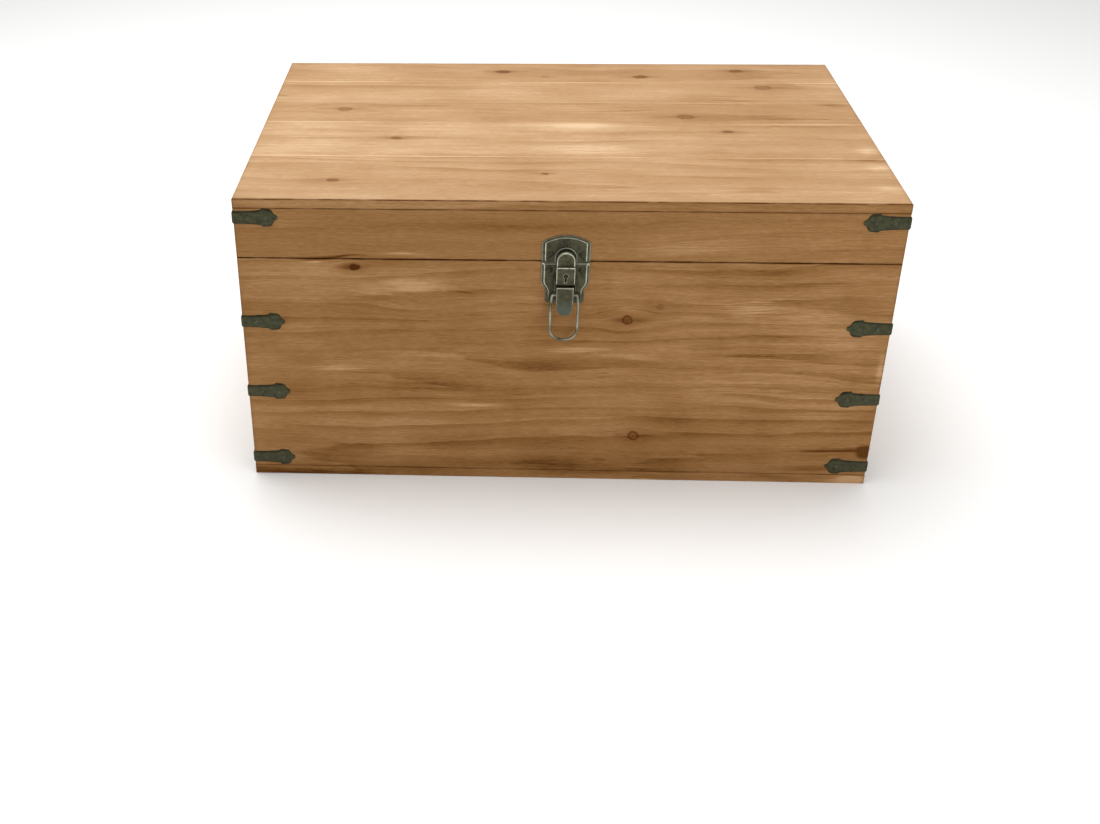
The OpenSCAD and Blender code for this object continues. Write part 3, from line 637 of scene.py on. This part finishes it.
STRAP_HALF_H = max(half for _, half in STRAP_PROFILE)
STRAP_STEP = 75.5
LOWEST_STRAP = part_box("front_left_straps")[0].z / MM + STRAP_HALF_H
BODY_STRAPS = [LOWEST_STRAP + STRAP_STEP * i for i in range(3)]
LID_STRAP = sum(v.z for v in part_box("lid_front_left_strap")) / 2 / MM
for side_x, x_word in ((-1, "left"), (1, "right")):
    for side_y, y_word in ((-1, "front"), (1, "back")):
        corner = f"{y_word}_{x_word}"
        add_straps(f"{corner}_iron_straps", f"{corner}_straps", "chest_body", BODY_STRAPS, side_x, side_y)
        add_straps(f"lid_{corner}_iron_strap", f"lid_{corner}_strap", "lid", [LID_STRAP], side_x, side_y)


# ---- Latch ----

PLATE_HALF_W = 22.0
# How a pressed plate's edge rises from the wood: inset from the outline, height over the wood, and its wear.
PRESSED = ((0.0, 0.0, 0.0), (0.0, 0.7, 0.1), (0.15, 0.95, 0.35), (0.5, 1.0, 0.2), (1.5, 1.05, 0.0),
           (2.1, 1.35, 0.0), (2.45, 2.0, 0.1), (2.62, 2.3, 1.0), (2.95, 2.4, 0.9), (3.3, 2.38, 0.1),
           (4.2, 2.3, 0.0))
# The insets between which a pressed plate's raised edge lies.
CREST = (1.2, 3.2)


def add_loft(name, body, shape, steps, node, fade=(0.0, 1.0), crest=None, cap_start=False, depth=None):
    """A piece standing for a CAD node, whose outline shape(inset) is raised in steps of (inset, out, wear).

    The wear grows from little to full between the two heights in fade, which leaves the lower edges dark as
    painted shade, and is full on the raised edge above the height crest, a painted highlight where the top
    catches the light from above.
    depth(x, out, z) gives how far out a point really stands, where that isn't the same all round.
    """
    loops, worn = [], []
    for inset, out, wear in steps:
        outline = shape(inset)
        loops.append([off_front(x, depth(x, out, z) if depth else out, z) for x, z in outline])
        for _, z in outline:
            # Above crest the raised edge is a painted highlight; below the fade heights painted shade keeps
            # the edges dark.
            on_crest = crest and z > crest and CREST[0] < inset < CREST[1]
            worn.append(1.0 if on_crest else wear * np.interp(z, fade, (0.1, 1.0)))
    points, faces = join_loops(loops, cap_start=cap_start)
    add_mesh(name, points, faces, body, antique, [node], attributes={"wear": worn})


# Heights of the strike's foot, of the ends of its arc and of the arc's middle.
STRIKE_LOW, STRIKE_SIDE, STRIKE_TOP = 235.4, 254.6, 261.8


def strike_outline(inset):
    """The strike plate: straight sides under a shallow arc. The raised edge is closer at the foot and top."""
    rise = STRIKE_TOP - STRIKE_SIDE
    arc = (PLATE_HALF_W ** 2 + rise ** 2) / (2 * rise)
    half = PLATE_HALF_W - 1.2 * inset
    low = STRIKE_LOW + 0.35 * min(inset, 3)
    reach = arc - 0.65 * inset
    spread = math.asin(half / reach)
    turns = np.linspace(spread, -spread, 25)
    top = [(reach * math.sin(a), STRIKE_TOP - arc + reach * math.cos(a)) for a in turns]
    side = [(half, low + (top[0][1] - low) * i / 6) for i in range(6)]
    foot = [(-half + 2 * half * i / 10, low) for i in range(1, 10)]
    return side + top + [(-x, z) for x, z in reversed(side)] + foot


# The base plate's top and foot, half the width of its leg, and the heights between which it widens.
BASE_TOP, BASE_LOW, BASE_LEG, FLARE = 235.0, 194.7, 17.8, (207.0, 217.0)


def base_outline(inset):
    """The base plate: a wide top that narrows to a foot with rounded corners."""
    corner = max(0.6, 3.0 - 0.5 * inset)
    top = BASE_TOP - 0.35 * min(inset, 3.5)
    low = BASE_LOW + inset
    leg = BASE_LEG - inset
    bend = [(leg - corner + corner * math.sin(a), low + corner - corner * math.cos(a))
            for a in np.linspace(0, math.pi / 2, 6)]
    flare = []
    for z in np.linspace(FLARE[0], FLARE[1], 11):
        t = (z - FLARE[0]) / (FLARE[1] - FLARE[0])
        flare.append((leg + (PLATE_HALF_W - BASE_LEG) * t * t * (3 - 2 * t), z))
    right = bend + flare + [(PLATE_HALF_W - inset, z) for z in np.linspace(FLARE[1] + 3, top, 6)]
    across = [(PLATE_HALF_W - inset) * (1 - 2 * i / 10) for i in range(1, 10)]
    return right + [(x, top) for x in across] + [(-x, z) for x, z in reversed(right)]


add_loft("strike_pressing", "lid", strike_outline, PRESSED, "strike_plate",
         fade=(STRIKE_LOW + 0.8, STRIKE_LOW + 2.3))
add_loft("base_pressing", "chest_body", base_outline, PRESSED, "latch_base",
         fade=(BASE_LOW + 4, BASE_LOW + 20), crest=BASE_TOP - 1.3)

# An ear's outline from the side, as (out from the front, height), and the places across of its two faces.
EAR = ((1.4, 207.5), (4.4, 207.5), (8.6, 209.3), (9.7, 212), (9.2, 221), (6.2, 223.2), (1.4, 223.5))
EAR_X = (8.9, 10.1)


def add_ears():
    """The base's two ears, which hold the pins of the hook and the lever."""
    middle = np.mean(EAR, axis=0)
    for side, word in ((-1, "left"), (1, "right")):
        loops = []
        for x, ease in ((EAR_X[0], 0.2), (EAR_X[0] + 0.2, 0), (EAR_X[1] - 0.2, 0), (EAR_X[1], 0.2)):
            shape = [p + (middle - p) / np.linalg.norm(middle - p) * ease for p in np.array(EAR)]
            loops.append([off_front(side * x, out, z) for out, z in shape])
        points, faces = join_loops(loops)
        if side > 0:
            faces = [f[::-1] for f in faces]
        add_mesh(f"{word}_ear", points, faces, "chest_body", antique)


add_ears()

# The strike's arch and the hook's hood, as the height of the round top's middle and its radius, the thickness
# of the hood's wall, and the heights of the lock case's ends.
ARCH_Z, ARCH_R = 241.0, 10.2
HOOD_Z, HOOD_R, HOOD_WALL = 239.9, 8.5, 1.0
CASE_LOW, CASE_HIGH = 216.7, 234.6


def tombstone(inset):
    """The draw hook's outline: straight sides under a round top."""
    r = HOOD_R - inset
    low = CASE_LOW + 0.2
    arc = [(r * math.cos(a), HOOD_Z + r * math.sin(a)) for a in np.linspace(0, math.pi, 25)]
    side = [(r, low + (HOOD_Z - low) * i / 5) for i in range(5)]
    half = min(r, HOOD_R - HOOD_WALL)
    foot = [(-half + 2 * half * i / 6, low) for i in range(7)]
    return side + arc + [(-x, z) for x, z in reversed(side)] + foot


def hood_depth(x, out, z):
    """The hood's walls are deep beside its pin and shallow over the catch, with none across its foot."""
    if z > HOOD_Z - 2:
        return max(out, 6.4)
    across_foot = z < CASE_LOW + 0.3 and abs(x) < HOOD_R - HOOD_WALL + 0.01
    return max(out, 8.0) if across_foot else out


def add_arch():
    """The raised bead on the strike, arched over the hook."""
    foot, spring = STRIKE_LOW + 0.7, ARCH_Z - 2.5
    path = [(ARCH_R, foot, 0), (ARCH_R, spring, 0)]
    path += [(ARCH_R * math.cos(a), ARCH_Z + ARCH_R * math.sin(a), a) for a in np.linspace(0, math.pi, 25)]
    path += [(-ARCH_R, spring, math.pi), (-ARCH_R, foot, math.pi)]
    # Across the bead: how far in from its outer side, how far out from the front, and its wear.
    profile = ((0.0, 2.2, 0.0), (0.1, 3.3, 0.1), (0.35, 4.0, 0.6), (0.65, 4.2, 0.5), (0.95, 4.0, 0.2),
               (1.2, 3.3, 0.0), (1.3, 2.2, 0.0))
    rows = [[off_front(x - inset * math.cos(a), out, z - inset * math.sin(a)) for inset, out, _ in profile]
            for x, z, a in path]
    points, faces = join_loops(rows, closed=False)
    add_mesh("strike_arch", points, faces, "lid", antique,
             attributes={"wear": [wear for *_, wear in profile] * len(path)})


add_arch()
# The hood's side walls carry some wear, which paints light on them where they stand in shade.
add_loft("hook_hood", "draw_hook", tombstone,
         ((HOOD_WALL, 8.0, 0.0), (HOOD_WALL, 4.6, 0.0), (0.0, 4.6, 0.35), (0.0, 7.4, 0.35), (0.2, 8.2, 0.3),
          (0.45, 8.75, 0.5), (0.75, 9.08, 1.0), (1.05, 9.2, 0.7), (1.35, 9.18, 0.0), (2.3, 9.1, 0.0)),
         "latch_hook", cap_start=True, depth=hood_depth)

# The middle of the keyhole's eye, as (across, height).
KEY_EYE = (0.0, 226.4)
# The lock case's steps from here up follow the keyhole and not the case's sides.
AT_KEYHOLE = 10.0


def case_outline(inset):
    """The lock case's rectangle, as points that walk round it from its low right corner."""
    steps = 16
    half, low, high = HOOD_R - inset, CASE_LOW + inset, CASE_HIGH - inset
    corners = [(half, low), (half, high), (-half, high), (-half, low), (half, low)]
    return [(a[0] + (b[0] - a[0]) * i / steps, a[1] + (b[1] - a[1]) * i / steps)
            for a, b in zip(corners, corners[1:]) for i in range(steps)]


def keyhole_outline(grow):
    """The keyhole's edge, seen from its eye in the same directions as the points round the case."""
    eye, slot_half, slot_end = 2.0 + grow, 0.9 + grow, 6.0 + grow
    edge = []
    for x, z in case_outline(0.0):
        away = math.hypot(x - KEY_EYE[0], z - KEY_EYE[1])
        across, down = (x - KEY_EYE[0]) / away, (KEY_EYE[1] - z) / away
        slot = min(slot_half / max(abs(across), 1e-6), slot_end / down) if down > 0 else 0.0
        reach = max(eye, slot)
        edge.append((KEY_EYE[0] + reach * across, KEY_EYE[1] - reach * down))
    return edge


def case_shape(place):
    """The case's outline inset by place or, from AT_KEYHOLE up, the keyhole's outline grown by the rest."""
    return case_outline(place) if place < AT_KEYHOLE else keyhole_outline(place - AT_KEYHOLE)


def case_depth(x, out, z):
    """The case's lower edge is cut back at a slant, to clear the lever's top as both swing."""
    return min(out, 9.4 + z - CASE_LOW)


add_loft("lock_case_cover", "draw_hook", case_shape,
         ((0.0, 9.2, 0.0), (0.0, 11.1, 0.2), (0.12, 11.45, 0.6), (0.35, 11.7, 1.0), (0.65, 11.8, 0.4),
          (1.0, 11.8, 0.0), (2.4, 11.8, 0.0), (AT_KEYHOLE + 0.9, 11.8, 0.0), (AT_KEYHOLE + 0.2, 11.75, 0.3),
          (AT_KEYHOLE, 11.5, 0.2), (AT_KEYHOLE, 9.4, 0.0)),
         "lock_case", fade=(CASE_LOW, CASE_LOW + 3), depth=case_depth)


def add_wire(name, body, path, radius, nodes):
    """A wire of a given radius along a path of points, all in metres."""
    sides = 14
    turns = [2 * math.pi * k / sides for k in range(sides)]
    loops, worn = [], []
    for i, p in enumerate(path):
        ahead = (path[min(i + 1, len(path) - 1)] - path[max(i - 1, 0)]).normalized()
        side = ahead.cross(Vector((0, -1, 0))).normalized()
        lift = side.cross(ahead)
        loops.append([p + radius * (math.cos(a) * side + math.sin(a) * lift) for a in turns])
        # Wear on the wire's front half, which also paints the highlight that the front of the wire catches.
        wear_and_sheen = 0.35 + 0.5 * noise.noise(p / MM * 0.12)
        worn += [wear_and_sheen * max(0.05, math.sin(a)) for a in turns]
    points, faces = join_loops(loops)
    add_mesh(name, points, faces, body, antique, nodes, angle=60, attributes={"wear": worn})


def bail_path():
    """The bail's wire: in from a stub, down a slightly bowed leg, round the bottom and back up."""
    out, pivot, bottom, bend, half_w = 6.8, 205.5, 159.8, 11.0, 12.6
    leg = [(8.0, pivot), (10.7, pivot), (11.35, pivot - 0.4), (11.7, pivot - 2.0), (half_w, 196.0),
           (half_w + 0.1, 188.0), (half_w + 0.05, 180.0), (half_w, 173.0)]
    turn = [(half_w - bend + bend * math.cos(a), bottom + bend - bend * math.sin(a))
            for a in np.linspace(0.1, math.pi / 2, 12)]
    right = leg + turn
    return [off_front(x, out, z) for x, z in right] + [off_front(-x, out, z) for x, z in reversed(right)]


add_wire("bail_wire", "bail", bail_path(), 1.25 * MM, ["latch_bail"])


# Half the lever's width, the height at which it bends out, how far out its face is, and the height of the
# round tab's middle and its radius.
LEVER_HALF, LEVER_BEND, LEVER_OUT, TAB_Z, TAB_R = 7.8, 198.0, 9.85, 193.9, 7.2
LEVER_HEIGHTS = (213.9, 213.75, 213.4, 212.7, 210, 206, 202, 199, 197, 195.4, 194, 192.6, 191.2, 189.9,
                 188.8, 187.9, 187.3, 186.9)
# The lever's side, across from its middle: inset from the side, drop under the face, and wear.
LEVER_EDGE = ((3.5, 0.05, 0.0), (1.1, 0.0, 0.0), (0.5, 0.03, 0.25), (0.2, 0.18, 0.6), (0.0, 0.5, 0.3),
              (0.0, 3.4, 0.0))


def lever_row(z, on_tab):
    """The lever's section at a height, as (x, out, wear) from left to right. on_tab grows to 1 on its tab."""
    width = float(np.interp(z, (TAB_Z, LEVER_BEND), (TAB_R, LEVER_HALF)))
    if z < TAB_Z:
        width = math.sqrt(TAB_R ** 2 - (TAB_Z - z) ** 2)
    lean = 2.4 * max(0.0, (LEVER_BEND - z) / (LEVER_BEND - LEVER_HEIGHTS[-1])) ** 1.4
    under_top = LEVER_HEIGHTS[0] - z
    roll = 0.45 * max(0.0, (0.7 - under_top) / 0.7) ** 2
    # A painted highlight along the lever's top edge, where it catches the light.
    top_highlight = 1.0 if 0.1 < under_top < 0.6 else 0.0
    right = []
    for inset, drop, wear in LEVER_EDGE:
        drop = min(drop, 0.9) if on_tab else drop
        out = LEVER_OUT + lean - drop - roll
        right.append((width - min(inset, 0.8 * width), out, max(wear * (1 - 0.9 * on_tab), top_highlight)))
    return [(-x, out, wear) for x, out, wear in reversed(right)] + right


def add_lever():
    """The thumb lever: a strip with rolled edges whose round-ended tab flares out at the bottom."""
    loops, worn, blue = [], [], []
    for z in LEVER_HEIGHTS:
        on_tab = float(np.interp(z, (LEVER_BEND - 5, LEVER_BEND + 3), (1.0, 0.0)))
        row = lever_row(z, on_tab)
        loops.append([off_front(x, out, z) for x, out, _ in row])
        worn += [wear for *_, wear in row]
        blue += [0.7 * on_tab] * len(row)
    points, faces = join_loops(loops, closed=False, cap_start=False, cap_end=False)
    lever = add_mesh("lever_strip", points, [f[::-1] for f in faces], "lever", antique, ["latch_lever"],
                     attributes={"wear": worn, "bluing": blue})
    sheet = lever.modifiers.new("sheet", "SOLIDIFY")
    sheet.thickness, sheet.offset = 1.0 * MM, -1


add_lever()


# ---- CAD nodes shown as they are, with softened edges ----


def soften(node, material, worn_material, width_mm):
    """Gives a CAD node its finish and small rounded edges in a brighter worn finish, which on the nails also
    paints their glint.
    """
    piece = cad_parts[node]
    piece.data.materials.clear()
    piece.data.materials.append(material)
    piece.data.materials.append(worn_material)
    for face in piece.data.polygons:
        face.material_index = 0
    weld = piece.modifiers.new("weld", "WELD")
    weld.merge_threshold = 0.002 * MM
    ease = piece.modifiers.new("ease", "BEVEL")
    ease.width, ease.segments, ease.material = width_mm * MM, 2, 1
    ease.limit_method, ease.angle_limit = "ANGLE", math.radians(40)
    ease.use_clamp_overlap = True


STEEL_NODES = ("hinge_pins", "stay_body_plate", "stay_lid_plate", "stay_lower_arm", "stay_upper_arm",
               "stay_elbow_rivet", "stay_body_screws", "stay_lid_screws", "lock_bolt")
HINGE_NODES = ("left_hinge_body_leaf", "right_hinge_body_leaf", "left_hinge_lid_leaf", "right_hinge_lid_leaf",
               "hinge_body_screws", "hinge_lid_screws")
LATCH_NODES = ("strike_catch", "strike_screws", "latch_base_screws", "hook_pin", "lever_pin", "key_post")
for node in STEEL_NODES:
    soften(node, steel, steel_worn, 0.15)
for node in HINGE_NODES:
    soften(node, antique, antique_worn, 0.15)
# The hook and lever pins take the dark finish partly as painted shade, for the shadow round them beside the
# lock case.
for node in LATCH_NODES:
    soften(node, antique_dark, antique_worn if "screws" in node else antique_dark, 0.15)
for node in ("body_strap_nails", "lid_strap_nails"):
    soften(node, nail_iron, nail_worn_glint, 0.1)


# ---- Studio ----


def add_area(name, size, power, place, aim):
    """A square lamp at a place, aimed at another."""
    light = bpy.data.objects.new(name, bpy.data.lights.new(name, "AREA"))
    light.data.shape, light.data.size, light.data.energy = "SQUARE", size, power
    light.location = place
    light.rotation_euler = (Vector(aim) - Vector(place)).to_track_quat("-Z", "Y").to_euler()
    bpy.context.scene.collection.objects.link(light)


add_area("overhead", size=2.2, power=52, place=(-0.3, 0.35, 2.1), aim=(0, 0, 0.2))
add_area("front_fill", size=1.4, power=8, place=(1.3, -1.5, 1.0), aim=(0, 0, 0.15))

bpy.context.scene.view_settings.view_transform = "Standard"
world = bpy.data.worlds.new("studio")
bpy.context.scene.world = world
world.use_nodes = True
world.node_tree.nodes["Background"].inputs["Color"].default_value = (1.0, 1.0, 1.0, 1.0)
world.node_tree.nodes["Background"].inputs["Strength"].default_value = 0.45

FLOOR_HALF = 8.0
floor_look = Shader("floor")
floor_tone = floor_look.mix(floor_look.noise([900, 900, 900]), "#fbfbfa", "#fefefd")
floor_look.finish(floor_tone, 0.7, floor_look.noise([40, 40, 40]), 0.05, strength=0.2)
floor_mesh = bpy.data.meshes.new("floor")
floor_corners = [(x * FLOOR_HALF, y * FLOOR_HALF, 0) for x, y in ((-1, -1), (1, -1), (1, 1), (-1, 1))]
floor_mesh.from_pydata(floor_corners, [], [(0, 1, 2, 3)])
floor_mesh.materials.append(floor_look.material)
floor = bpy.data.objects.new("floor", floor_mesh)
bpy.context.scene.collection.objects.link(floor)

# The camera stands a little left of the chest's middle and looks down, turned slightly left. The photograph
# is off the lens's own centre, so the camera has a shift.
CAMERA_PLACE = (-0.0580, -1.3432, 0.7698)
CAMERA_TURNS = ((3.29, "Z"), (90 - 31.27, "X"), (-0.80, "Z"))
camera = bpy.data.objects.new("camera", bpy.data.cameras.new("camera"))
bpy.context.scene.collection.objects.link(camera)
aim = Matrix.Identity(4)
for degrees, axis in CAMERA_TURNS:
    aim = aim @ Matrix.Rotation(math.radians(degrees), 4, axis)
camera.matrix_world = Matrix.Translation(CAMERA_PLACE) @ aim
camera.data.sensor_width, camera.data.lens = 36.0, 45.26
camera.data.shift_x = 0.108
bpy.context.scene.camera = camera
